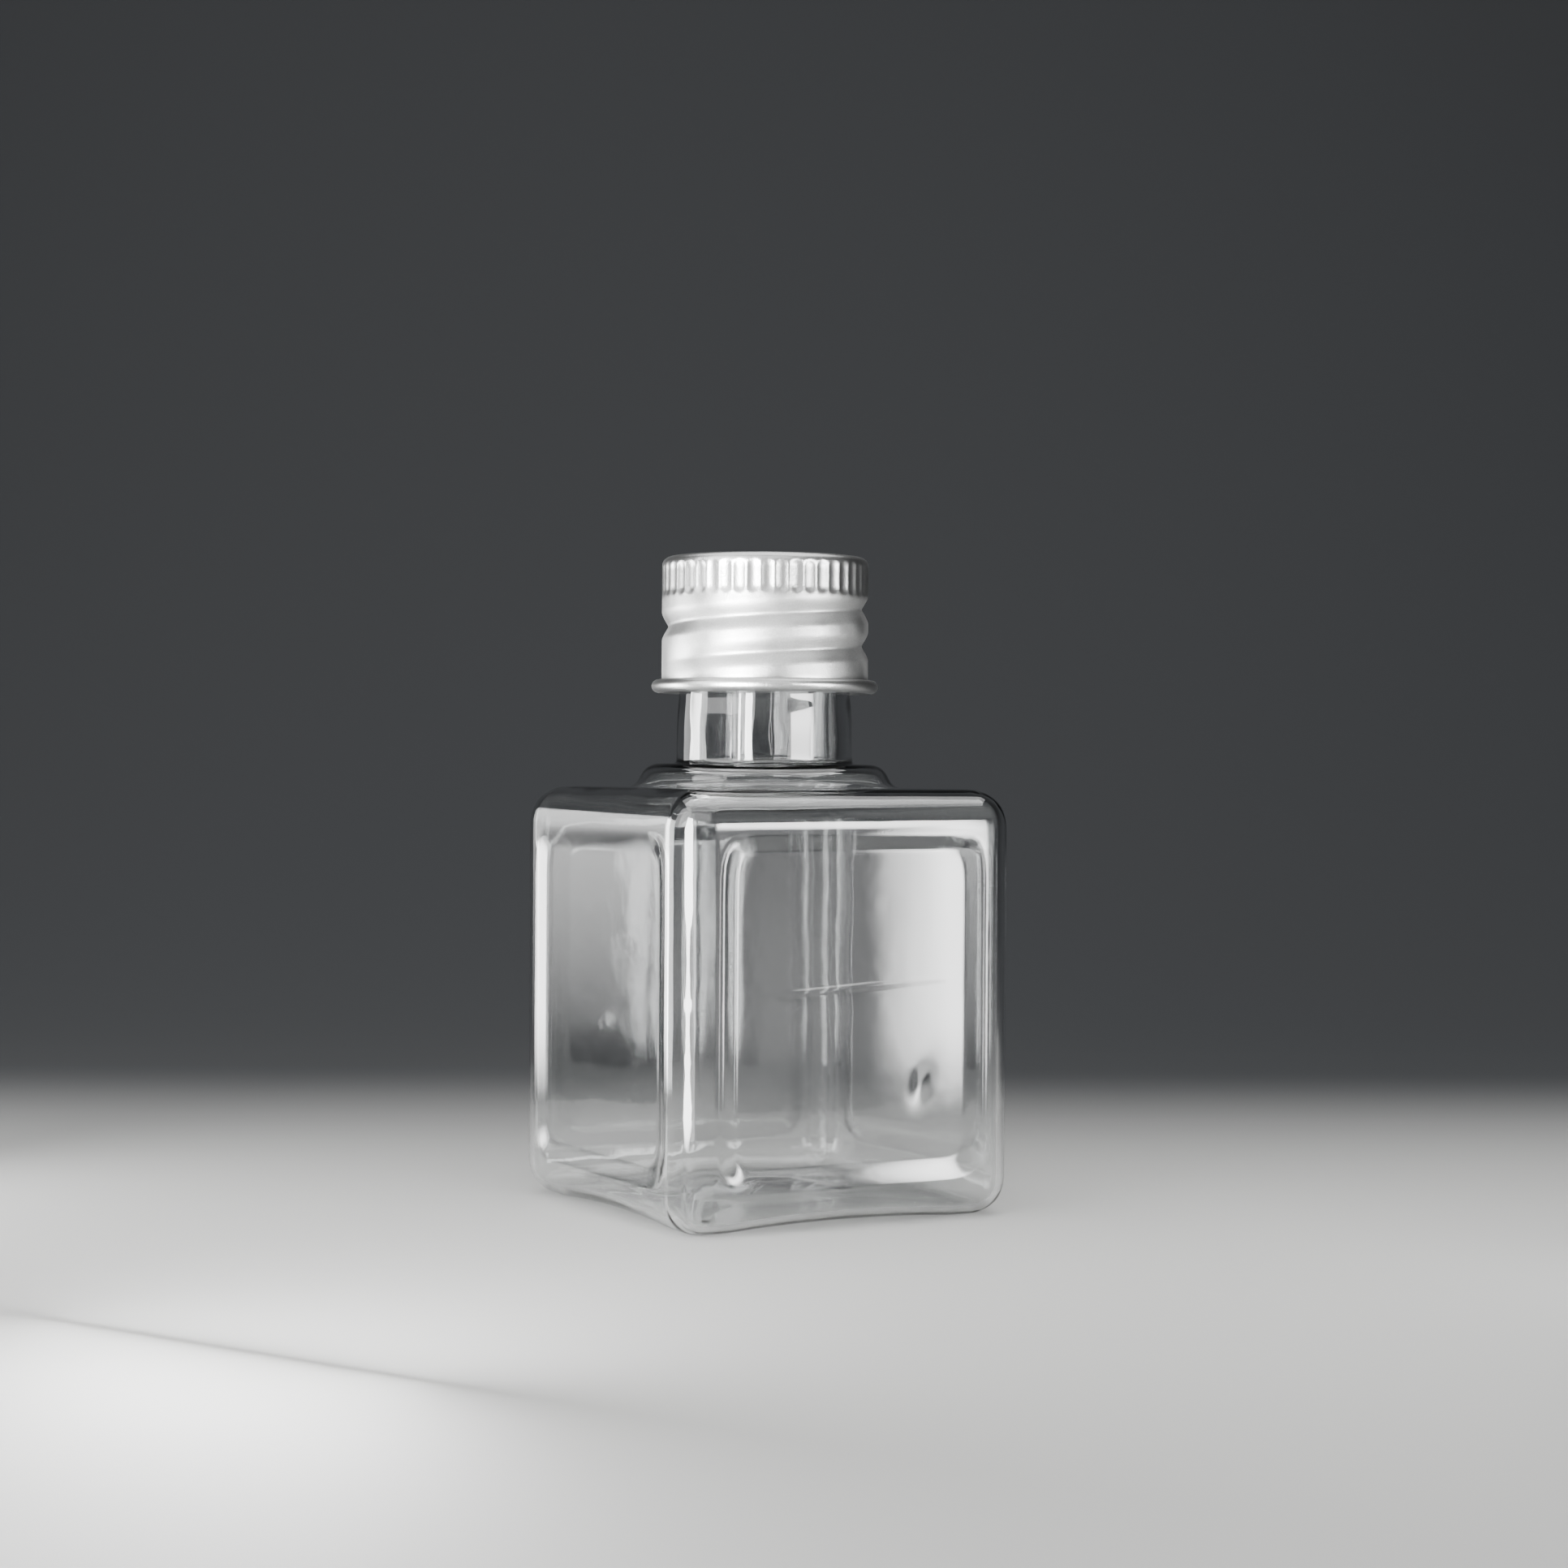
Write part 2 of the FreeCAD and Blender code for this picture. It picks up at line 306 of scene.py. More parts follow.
def finish_piece(piece, body, node, material):
    """Gives a finished piece its material and its place in the CAD frame."""
    piece.data.materials.clear()
    piece.data.materials.append(material)
    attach(piece, body)
    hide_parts(node)


# Materials

def add_node(tree, kind, settings=None, inputs=None, links=None):
    """Adds one node: its settings, the values of its inputs, and links to its inputs from other nodes."""
    node = tree.nodes.new(kind)
    for key, value in (settings or {}).items():
        setattr(node, key, value)
    for key, value in (inputs or {}).items():
        node.inputs[key].default_value = value
    for key, source in (links or {}).items():
        tree.links.new(source, node.inputs[key])
    return node


def new_material(name):
    """An empty material with an output node, and its object coordinates."""
    material = bpy.data.materials.new(name)
    material.use_nodes = True
    tree = material.node_tree
    tree.nodes.clear()
    output = add_node(tree, "ShaderNodeOutputMaterial")
    coordinates = add_node(tree, "ShaderNodeTexCoord").outputs["Object"]
    return material, tree, output, coordinates


def clear_pet():
    """Blow-moulded clear PET: glossy, faintly wavy, with rub marks that dull it in places."""
    material, tree, output, coordinates = new_material("blown_clear_PET")
    waves = add_node(tree, "ShaderNodeTexNoise", inputs={"Scale": 1 / (5 * MM), "Detail": 2.0},
                     links={"Vector": coordinates})
    peel = add_node(tree, "ShaderNodeTexNoise", inputs={"Scale": 1 / (0.9 * MM), "Detail": 1.0},
                    links={"Vector": coordinates})
    height = add_node(tree, "ShaderNodeMath", {"operation": "MULTIPLY_ADD"}, {1: 0.08},
                      {0: peel.outputs["Fac"], 2: waves.outputs["Fac"]})
    bump = add_node(tree, "ShaderNodeBump", inputs={"Strength": 0.12, "Distance": 0.12 * MM},
                    links={"Height": height.outputs[0]})
    rubs = add_node(tree, "ShaderNodeTexNoise",
                    inputs={"Scale": 1 / (2.2 * MM), "Detail": 5.0, "Roughness": 0.7},
                    links={"Vector": coordinates})
    dull = add_node(tree, "ShaderNodeMapRange",
                    inputs={"From Min": 0.5, "From Max": 0.78, "To Min": 0.02, "To Max": 0.09},
                    links={"Value": rubs.outputs["Fac"]})
    shader = add_node(tree, "ShaderNodeBsdfPrincipled",
                      inputs={"Base Color": linear("#FBFCFC"), "IOR": 1.57, "Transmission Weight": 1.0},
                      links={"Roughness": dull.outputs["Result"], "Normal": bump.outputs["Normal"]})
    tree.links.new(shader.outputs["BSDF"], output.inputs["Surface"])
    return material


# The cap is burnished over its flutes and its curl. Each band starts at its first level and is full
# at its second.
FLUTE_BAND = (CAP_TOP_Z - 4.4 * MM, CAP_TOP_Z - 3.6 * MM)
CURL_BAND = (CAP_BOTTOM_Z + 1.8 * MM, CAP_BOTTOM_Z + 1.2 * MM)


def rolled_aluminium():
    """Drawn and rolled aluminium: a satin skirt with a fine grain, and brighter burnished flutes and curl."""
    material, tree, output, coordinates = new_material("rolled_satin_aluminium")
    levels = add_node(tree, "ShaderNodeSeparateXYZ", links={"Vector": coordinates}).outputs["Z"]
    flutes = add_node(tree, "ShaderNodeMapRange", {"interpolation_type": "SMOOTHSTEP"},
                      {"From Min": FLUTE_BAND[0], "From Max": FLUTE_BAND[1]}, {"Value": levels})
    curl = add_node(tree, "ShaderNodeMapRange", {"interpolation_type": "SMOOTHSTEP"},
                    {"From Min": CURL_BAND[0], "From Max": CURL_BAND[1]}, {"Value": levels})
    burnished = add_node(tree, "ShaderNodeMath", {"operation": "MAXIMUM"},
                         links={0: flutes.outputs["Result"], 1: curl.outputs["Result"]})
    grain = add_node(tree, "ShaderNodeTexNoise", inputs={"Scale": 1 / (0.16 * MM), "Detail": 3.0},
                     links={"Vector": coordinates})
    smear = add_node(tree, "ShaderNodeTexNoise", inputs={"Scale": 1 / (2.5 * MM), "Detail": 4.0},
                     links={"Vector": coordinates})
    satin = add_node(tree, "ShaderNodeMapRange",
                     inputs={"From Min": 0.3, "From Max": 0.7, "To Min": 0.36, "To Max": 0.5},
                     links={"Value": smear.outputs["Fac"]})
    roughness = add_node(tree, "ShaderNodeMix", {"data_type": "FLOAT"}, {"B": 0.3},
                         {"Factor": burnished.outputs[0], "A": satin.outputs["Result"]})
    tint = add_node(tree, "ShaderNodeMix", {"data_type": "RGBA"},
                    {"A": linear("#A0A1A1"), "B": linear("#C6C6C5")}, {"Factor": grain.outputs["Fac"]})
    bump = add_node(tree, "ShaderNodeBump", inputs={"Strength": 0.6, "Distance": 0.03 * MM},
                    links={"Height": grain.outputs["Fac"]})
    shader = add_node(tree, "ShaderNodeBsdfPrincipled", inputs={"Metallic": 1.0},
                      links={"Base Color": tint.outputs["Result"], "Roughness": roughness.outputs["Result"],
                             "Normal": bump.outputs["Normal"]})
    tree.links.new(shader.outputs["BSDF"], output.inputs["Surface"])
    return material


def foam_liner():
    """Closed-cell polyethylene foam: matt off-white with a fine pitted skin."""
    material, tree, output, coordinates = new_material("closed_cell_PE_foam")
    cells = add_node(tree, "ShaderNodeTexVoronoi", inputs={"Scale": 1 / (0.35 * MM)},
                     links={"Vector": coordinates})
    tint = add_node(tree, "ShaderNodeMix", {"data_type": "RGBA"},
                    {"A": linear("#E2E1DB"), "B": linear("#F3F2EE")},
                    {"Factor": cells.outputs["Distance"]})
    bump = add_node(tree, "ShaderNodeBump", inputs={"Strength": 0.35, "Distance": 0.06 * MM},
                    links={"Height": cells.outputs["Distance"]})
    shader = add_node(tree, "ShaderNodeBsdfPrincipled", inputs={"Roughness": 0.75},
                      links={"Base Color": tint.outputs["Result"], "Normal": bump.outputs["Normal"]})
    tree.links.new(shader.outputs["BSDF"], output.inputs["Surface"])
    return material


# The painted shade on the paper deepens between these distances along the camera's view, counted from the
# bottle's axis.
PAPER_SHADE_FADE = (-0.04, 0.13)


def paper_with_painted_shade(pale, deep):
    """Matt background paper, pale in the foreground, with painted shade deepening to a darker grey behind the
    bottle, where the light falls off.
    """
    material, tree, output, coordinates = new_material("graduated_background_paper")
    away = camera_turn().row[1]
    depth = add_node(tree, "ShaderNodeVectorMath", {"operation": "DOT_PRODUCT"}, {1: away},
                     {0: coordinates}).outputs["Value"]
    # Painted shade: the paper turns from the pale colour to the deep one away from the camera, behind the
    # bottle.
    share = add_node(tree, "ShaderNodeMapRange", {"interpolation_type": "SMOOTHSTEP"},
                     {"From Min": PAPER_SHADE_FADE[0], "From Max": PAPER_SHADE_FADE[1]}, {"Value": depth})
    tint = add_node(tree, "ShaderNodeMix", {"data_type": "RGBA"}, {"A": pale, "B": deep},
                    {"Factor": share.outputs["Result"]})
    shader = add_node(tree, "ShaderNodeBsdfPrincipled", inputs={"Roughness": 0.85},
                      links={"Base Color": tint.outputs["Result"]})
    tree.links.new(shader.outputs["BSDF"], output.inputs["Surface"])
    return material


# The bottle

# The share of the boss's slope that is hollow; the rest is round.
BOSS_HOLLOW_SHARE = 0.42


def boss_steps(sizes, count=4):
    """(radius, level) steps up the S-shaped slope of the shoulder boss, hollow first and then round."""
    run = sizes.boss_base_radius - sizes.boss_top_radius
    slope = 2 * math.atan2(sizes.boss_height, run)
    both = run / math.sin(slope)
    hollow = BOSS_HOLLOW_SHARE * both
    rounded = both - hollow
    top = sizes.body_height + sizes.boss_height
    steps = []
    for n in range(count + 1):
        angle = slope * n / count
        steps.append((sizes.boss_base_radius - hollow * math.sin(angle),
                      sizes.body_height + hollow * (1 - math.cos(angle))))
    for n in range(1, count + 1):
        angle = slope * (1 - n / count)
        steps.append((sizes.boss_top_radius + rounded * math.sin(angle),
                      top - rounded * (1 - math.cos(angle))))
    return steps


RING = 32
# A subdivided ring shrinks a little, so its cage is drawn this much larger.
RING_SWELL = 3 / (2 + math.cos(math.tau / RING))

# A face lies square to an axis when more than this share of its normal is along it.
SQUARE = 0.999
# The cage of the side panels is cut at these shares of their half size.
GRID = (-1, -2 / 3, -1 / 3, 0, 1 / 3, 2 / 3, 1)

# The neck's foot runs out on the boss by this much, and the rim's edges are rounded by this much.
NECK_FLARE = 0.35 * MM
RIM_ROUNDING = 0.12 * MM
# Hollow feet of the neck and of its bore, in millimetres: out from their radius, and up from their start.
NECK_FOOT = ((0.08, 0.1), (0, 0.4))
BORE_FOOT = ((0.5, 0.02), (0.1, 0.25), (0, 0.8))
# The neck narrows by this much, at this level below the finish.
NECK_TAPER = 0.06 * MM
TAPER_LEVEL = 1.2 * MM
# The straight stretch of the finish keeps this far from both its ends.
FINISH_MARGIN = 0.3 * MM


def swollen(steps):
    return [(radius * RING_SWELL, level) for radius, level in steps]


def body_cage(piece, sizes):
    """Cuts the cube into a grid, rounds its edges and presses the side panels in."""
    height = sizes.body_height
    inner = SIDE / 2 - sizes.panel_margin
    planes = []
    for share in GRID:
        planes.append((Vector((share * inner, 0, 0)), Vector((1, 0, 0))))
        planes.append((Vector((0, share * inner, 0)), Vector((0, 1, 0))))
        level = height / 2 + share * (height / 2 - sizes.panel_margin)
        planes.append((Vector((0, 0, level)), UP))
    for place, normal in planes:
        bpy.ops.mesh.select_all(action="SELECT")
        bpy.ops.mesh.bisect(plane_co=place, plane_no=normal)
    bpy.ops.mesh.select_mode(type="EDGE")
    bpy.ops.mesh.select_all(action="DESELECT")
    bpy.ops.mesh.edges_select_sharp(sharpness=math.radians(60))
    bpy.ops.mesh.bevel(offset=sizes.edge_radius, offset_type="OFFSET", segments=6, profile=0.5,
                       affect="EDGES")

    def on_panel(face):
        place = middle(face)
        sideways = min(abs(place.x), abs(place.y))
        upwards = abs(place.z - height / 2)
        flat = max(abs(face.normal.x), abs(face.normal.y)) > SQUARE
        return flat and sideways < inner and upwards < height / 2 - sizes.panel_margin

    pick(piece, "faces", on_panel)
    # Flat lips on both sides of the slope hold its edges when the cage is rounded.
    lip = sizes.panel_bevel / 5
    for width, depth in ((lip, 0), (sizes.panel_bevel - 2 * lip, -sizes.panel_depth), (lip, 0)):
        bpy.ops.mesh.inset(thickness=width, depth=depth, use_even_offset=True)
    pick(piece, "faces", lambda face: face.normal.z > SQUARE)
    bpy.ops.mesh.delete(type="FACE")


def shoulder_cage(piece, sizes):
    """Joins the square top to a round ring and draws the boss up from it."""
    steps = swollen(boss_steps(sizes))
    start_radius, level = steps[0]
    bpy.ops.mesh.primitive_circle_add(vertices=RING, radius=start_radius, location=(0, 0, level))
    pick(piece, "edges", lambda edge: (edge.is_boundary or edge.is_wire) and middle(edge).z > level - MM)
    bpy.ops.mesh.bridge_edge_loops()
    pick(piece, "edges", lambda edge: edge.is_boundary and middle(edge).z > level - MM)
    extrude_ring(steps + swollen([(sizes.neck_radius + NECK_FLARE, steps[-1][1])]))


def neck_cage(piece, sizes):
    """Doubles the wall, then draws the neck up outside and the bore up inside until they meet at the rim."""
    top = sizes.body_height + sizes.boss_height
    step = top + sizes.neck_height
    bpy.ops.mesh.select_all(action="SELECT")
    bpy.ops.mesh.normals_make_consistent(inside=False)
    group = piece.vertex_groups.new(name="outside")
    piece.vertex_groups.active_index = group.index
    bpy.ops.object.vertex_group_assign()
    bpy.ops.mesh.duplicate()
    bpy.ops.object.vertex_group_remove_from()
    bpy.ops.transform.shrink_fatten(value=-sizes.wall, use_even_offset=True)
    bpy.ops.mesh.flip_normals()
    outside = [(sizes.neck_radius + NECK_FLARE, top)]
    outside += [(sizes.neck_radius + out * MM, top + up * MM) for out, up in NECK_FOOT]
    outside += [(sizes.neck_radius, (top + step) / 2), (sizes.neck_radius - NECK_TAPER, step - TAPER_LEVEL)]
    finish = RIM_Z - 2 * FINISH_MARGIN - step
    outside += [(sizes.finish_radius, step + FINISH_MARGIN + n * finish / 10) for n in range(11)]
    outside += [(sizes.finish_radius, RIM_Z - RIM_ROUNDING), (sizes.finish_radius - RIM_ROUNDING, RIM_Z),
                (sizes.finish_radius - 0.4 * MM, RIM_Z)]
    under = top - sizes.wall
    inside = [(sizes.neck_radius + NECK_FLARE, under)]
    inside += [(sizes.bore_radius + out * MM, under + up * MM) for out, up in BORE_FOOT]
    inside += [(sizes.bore_radius, under + n * (RIM_Z - under) / 5) for n in range(1, 5)]
    inside += [(sizes.bore_radius, RIM_Z - RIM_ROUNDING), (sizes.bore_radius + RIM_ROUNDING, RIM_Z)]
    pick(piece, "edges", lambda edge: edge.is_boundary and middle(edge).z > top - sizes.wall / 2)
    bpy.ops.object.vertex_group_assign()
    extrude_ring(swollen(outside))
    bpy.ops.object.vertex_group_remove_from()
    pick(piece, "edges", lambda edge: edge.is_boundary and middle(edge).z < top - sizes.wall / 2)
    extrude_ring(swollen(inside))
    pick(piece, "edges", lambda edge: edge.is_boundary)
    bpy.ops.mesh.bridge_edge_loops()
    bpy.ops.mesh.select_all(action="SELECT")
    bpy.ops.mesh.normals_make_consistent(inside=False)


# Where the arches and the dome blend, the lift can pass the dome's height a little, so it has this much room.
LIFT_SPARE = 1.02


def base_lift(sizes):
    """The share of the push-up's height by which the base is lifted at a vertex."""
    half_span = SIDE / 2 - sizes.edge_radius - sizes.foot_length

    def share(vertex):
        place = vertex.co
        across = max(1 - (place.x / half_span) ** 2, 1 - (place.y / half_span) ** 2, 0)
        arch = sizes.arch_rise * across
        away = math.hypot(place.x, place.y) / sizes.push_up_radius
        dome = sizes.push_up_rise * max(1 - away * away, 0)
        lift = (arch ** 4 + dome ** 4) ** 0.25
        fade = 1 - smooth(sizes.wall, sizes.edge_radius + sizes.wall, place.z)
        return lift / sizes.push_up_rise / LIFT_SPARE * fade

    return share


# Narrow rows of faces are cut beside the parting line and the flow mark, this many millimetres off.
PARTING_ROWS = (-0.42, -0.2, -0.07, 0.07, 0.2, 0.42)
FLOW_MARK_ROWS = (-0.6, -0.3, -0.12, 0.12, 0.3, 0.6)

# The flow mark lies across the inside of the -Y side, a little slanted. It fades out between two distances
# from its middle.
FLOW_MARK_PLACE = Vector((0, 0, 22.7)) * MM
FLOW_MARK_NORMAL = Vector((-0.06, 0, 1)).normalized()
FLOW_MARK_HALF_WIDTH = 0.3 * MM
FLOW_MARK_MIDDLE_X = 1.5 * MM
FLOW_MARK_FADE = (7 * MM, 11 * MM)

# The dent lies low in the same side, and leans as it rises. Faces within its reach are cut small.
DENT_PLACE = Vector((7.5, -18.4, 13.3)) * MM
DENT_HALF_WIDTH = 1.1 * MM
DENT_HALF_HEIGHT = 1.7 * MM
DENT_LEAN = 0.35
DENT_REACH = 4.5 * MM

# The parting line is low on the near corner, high on the far corner and the neck, and higher at each nodule,
# as shares of the ridge. It starts between two levels, so that the feet stand level.
NEAR_RIDGE = 0.22
HIGH_RIDGE = 0.6
NODULE_RIDGE = 0.6
RIDGE_START = (0.2 * MM, 1.6 * MM)

# Nodules are (level, size): two large ones, and small ones by chance.
LARGE_NODULES = ((26.6 * MM, 1.2), (20.0 * MM, 1.3))
SMALL_NODULES = 10
SMALL_NODULE_SIZES = (0.3, 0.8)
LOWEST_NODULE = 3 * MM
NODULE_HALF_LENGTH = 0.55 * MM
NODULE_SEED = 7

# Waves are (multiple of the waviness, width). Those in the body grow from the floor up to a level.
# Those in the neck grow over a length and fade out between two levels under the cap; the parting line ends
# at the lower one.
OUTSIDE_WAVES = (1.0, 9 * MM)
INSIDE_WAVES = (1.6, 4.5 * MM)
NECK_WAVES = (4, 3 * MM)
BODY_WAVES_FULL = 6 * MM
NECK_WAVES_START = 2 * MM
NECK_WAVES_END = (RIM_Z - 12 * MM, RIM_Z - 8 * MM)

# The middle of the neck's ridge lies this far above the middle of the cap's groove.
THREAD_ABOVE_GROOVE = 1.6 * MM
THREAD_HALF_WIDTH = 1.05 * MM


def cut_fine_rows(piece):
    """Cuts narrow rows of faces along the parting plane and the flow mark, and small faces at the dent."""
    bpy.ops.object.mode_set(mode="EDIT")
    cuts = [(PARTING_NORMAL * offset * MM, PARTING_NORMAL) for offset in PARTING_ROWS]
    cuts += [(FLOW_MARK_PLACE + FLOW_MARK_NORMAL * offset * MM, FLOW_MARK_NORMAL)
             for offset in FLOW_MARK_ROWS]
    for place, normal in cuts:
        bpy.ops.mesh.select_all(action="SELECT")
        bpy.ops.mesh.bisect(plane_co=place, plane_no=normal)
    pick(piece, "faces", lambda face: (middle(face) - DENT_PLACE).length < DENT_REACH)
    bpy.ops.mesh.subdivide(number_cuts=3)
    bpy.ops.object.mode_set(mode="OBJECT")


def parting_stray(level):
    """How far the far corner's parting line strays sideways at a level."""
    slow = math.sin(level / (1.7 * MM))
    quick = math.sin(level / (0.6 * MM))
    return 0.1 * MM * (slow + 0.6 * quick)


class BOTTLE_OT_bottle(bpy.types.Operator):
    """Model the clear blown bottle: body, shoulder boss, neck and thread"""

    bl_idname = "bottle.bottle"
    bl_label = "Clear bottle"

    def execute(self, context):
        sizes = context.scene.bottle_sizes
        cap = context.scene.cap_sizes
        deselect()
        bpy.ops.mesh.primitive_cube_add(size=1, location=(0, 0, sizes.body_height / 2),
                                        scale=(SIDE, SIDE, sizes.body_height))
        piece = start_piece("bottle_clear")
        body_cage(piece, sizes)
        shoulder_cage(piece, sizes)
        neck_cage(piece, sizes)
        bpy.ops.object.mode_set(mode="OBJECT")
        apply_modifier(piece, "SUBSURF", "rounding", levels=2, render_levels=2)
        cut_fine_rows(piece)
        outside_index = piece.vertex_groups["outside"].index

        def is_outside(vertex):
            return any(g.group == outside_index and g.weight > 0.5 for g in vertex.groups)

        press(piece, "base", sizes.push_up_rise * LIFT_SPARE, base_lift(sizes), direction="Z")
        body_top = sizes.body_height + sizes.boss_height

        def in_body(vertex):
            return smooth(0, BODY_WAVES_FULL, vertex.co.z) if vertex.co.z < body_top else 0

        def in_neck(vertex):
            start = smooth(body_top, body_top + NECK_WAVES_START, vertex.co.z)
            return start * (1 - smooth(*NECK_WAVES_END, vertex.co.z))

        def wander(name, waves, share_at):
            height, width = waves
            press(piece, name, sizes.waviness * height, share_at, texture=clouds(name, width), mid_level=0.5)

        wander("wandering_outside", OUTSIDE_WAVES, lambda v: is_outside(v) and in_body(v))
        wander("wandering_inside", INSIDE_WAVES, lambda v: not is_outside(v) and in_body(v))
        wander("wandering_neck", NECK_WAVES, lambda v: not is_outside(v) and in_neck(v))
        thread_level = CAP_BOTTOM_Z + cap.groove_start + THREAD_ABOVE_GROOVE
        press(piece, "thread", sizes.thread_height,
              lambda v: is_outside(v)
              and helix_share(v.co, thread_level, THREAD_HALF_WIDTH, cap, THREAD_ROUNDNESS))
        draws = random.Random(NODULE_SEED)
        nodules = list(LARGE_NODULES)
        nodules += [(draws.uniform(LOWEST_NODULE, sizes.body_height), draws.uniform(*SMALL_NODULE_SIZES))
                    for _ in range(SMALL_NODULES)]

        def on_parting_line(vertex):
            place = vertex.co
            far = place.x + place.y > 0
            stray = parting_stray(place.z) if far else 0
            beside = abs(place.dot(PARTING_NORMAL) - stray) / (PARTING_ROWS[-1] * MM)
            if not is_outside(vertex) or beside >= 1 or place.z > NECK_WAVES_END[0]:
                return 0
            lump = max(math.exp(-((place.z - level) / NODULE_HALF_LENGTH) ** 2) * size
                       for level, size in nodules)
            plain = HIGH_RIDGE if far or place.z > body_top else NEAR_RIDGE
            return (1 - beside * beside) ** 2 * (plain + NODULE_RIDGE * lump) * smooth(*RIDGE_START, place.z)

        press(piece, "parting", sizes.parting_ridge, on_parting_line)

        def in_dent(vertex):
            place = vertex.co - DENT_PLACE
            # Both skins of the -Y side give way, and no other side.
            if place.y > 1.5 * sizes.wall:
                return 0
            across = place.x / DENT_HALF_WIDTH
            upwards = place.z / DENT_HALF_HEIGHT
            return math.exp(-(across - DENT_LEAN * upwards) ** 2 - upwards * upwards)

        press(piece, "dent", sizes.dent_depth, in_dent, direction="Y")

        def on_flow_mark(vertex):
            place = vertex.co
            # The inner skin of the -Y side, as deep as its panel, is marked, and no other side.
            if is_outside(vertex) or place.y > -SIDE / 2 + 2.2 * sizes.wall:
                return 0
            beside = (place - FLOW_MARK_PLACE).dot(FLOW_MARK_NORMAL) / FLOW_MARK_HALF_WIDTH
            start, end = FLOW_MARK_FADE
            return math.exp(-beside * beside) * smooth(end, start, abs(place.x - FLOW_MARK_MIDDLE_X))

        press(piece, "flow_mark", -sizes.flow_mark, on_flow_mark, direction="Y")
        bpy.ops.object.shade_smooth()
        finish_piece(piece, "bottle", "bottle", clear_pet())
        return {"FINISHED"}


# The cap

# Rings of faces on the flat top, rows about this high down the skirt, and this many faces across each flute.
TOP_RINGS = (0.6 * MM, 4 * MM, 7 * MM)
CORNER_STEPS = 6
SKIRT_ROW = 0.17 * MM
FACES_PER_FLUTE = 8
# A flute rounds off over this length at both ends, and the groove stays this far above the cap's lower edge.
FLUTE_END = 0.75 * MM
GROOVE_FOOT = 1.6 * MM
# The curl turns outwards and back in through this many degrees.
CURL_TURN = 290
CURL_STEPS = 14


def cap_profile(sizes):
    """(radius, level) steps along the outside of the sheet, from the top's middle to the end of the curl."""
    corner = sizes.radius - sizes.corner_radius
    steps = [(radius, CAP_TOP_Z) for radius in (*TOP_RINGS, corner - 0.3 * MM)]
    for n in range(CORNER_STEPS + 1):
        angle = math.radians(90 - 90 * n / CORNER_STEPS)
        steps.append((corner + sizes.corner_radius * math.cos(angle),
                      CAP_TOP_Z - sizes.corner_radius + sizes.corner_radius * math.sin(angle)))
    curl_inner = (CURL_OUTER_RADIUS - sizes.radius - sizes.sheet) / 2
    curl_level = CAP_BOTTOM_Z + curl_inner + sizes.sheet
    straight = CAP_TOP_Z - sizes.corner_radius - curl_level
    rows = round(straight / SKIRT_ROW)
    steps += [(sizes.radius, curl_level + straight * (1 - n / rows)) for n in range(1, rows + 1)]
    curl_middle = sizes.radius + curl_inner
    for n in range(1, CURL_STEPS + 1):
        angle = math.radians(180 + CURL_TURN * n / CURL_STEPS)
        steps.append((curl_middle + curl_inner * math.cos(angle), curl_level + curl_inner * math.sin(angle)))
    return steps


class BOTTLE_OT_cap(bpy.types.Operator):
    """Model the rolled aluminium cap: flutes, thread groove and curl"""

    bl_idname = "bottle.cap"
    bl_label = "Aluminium cap"

    def execute(self, context):
        sizes = context.scene.cap_sizes
        around = FACES_PER_FLUTE * sizes.flute_count
        steps = cap_profile(sizes)
        deselect()
        bpy.ops.mesh.primitive_circle_add(vertices=around, radius=steps[0][0], fill_type="NGON",
                                          location=(0, 0, steps[0][1]))
        piece = start_piece("cap_rolled")
        pick(piece, "edges", lambda edge: edge.is_boundary)
        extrude_ring(steps)
        bpy.ops.mesh.select_all(action="SELECT")
        bpy.ops.mesh.normals_make_consistent(inside=False)
        bpy.ops.object.mode_set(mode="OBJECT")
        if piece.data.polygons[0].normal.z < 0:
            bpy.ops.object.mode_set(mode="EDIT")
            bpy.ops.mesh.flip_normals()
            bpy.ops.object.mode_set(mode="OBJECT")
        flute_top = CAP_TOP_Z - sizes.flute_top_margin
        flute_middle = flute_top - sizes.flute_length / 2
        straight = sizes.flute_length / 2 - FLUTE_END

        def in_flute(vertex):
            place = vertex.co
            if math.hypot(place.x, place.y) < sizes.radius - sizes.corner_radius:
                return 0
            turn = math.atan2(place.y, place.x) / math.tau * sizes.flute_count
            beside = 2 * abs(turn - round(turn))
            past = max(abs(place.z - flute_middle) - straight, 0) / FLUTE_END
            return max(1 - beside * beside - past * past, 0)

        groove_level = CAP_BOTTOM_Z + sizes.groove_start
        press(piece, "flutes", -sizes.flute_depth, in_flute)
        press(piece, "groove", -sizes.groove_depth,
              lambda v: v.co.z > CAP_BOTTOM_Z + GROOVE_FOOT
              and helix_share(v.co, groove_level, sizes.groove_half_width, sizes, GROOVE_ROUNDNESS))
        apply_modifier(piece, "SOLIDIFY", "sheet", thickness=sizes.sheet, offset=-1.0, use_even_offset=True)
        bpy.ops.object.shade_smooth_by_angle(angle=math.radians(50))
        finish_piece(piece, "cap", "cap_shell", rolled_aluminium())
        return {"FINISHED"}


LINER_EDGE = 0.12 * MM
# From the liner's edge inwards, in millimetres: the width of each ring and how far it is pressed in.
LINER_RINGS = ((0.5, 0), (0.15, 0.06), (1.1, 0), (0.15, -0.06), (2.5, 0))


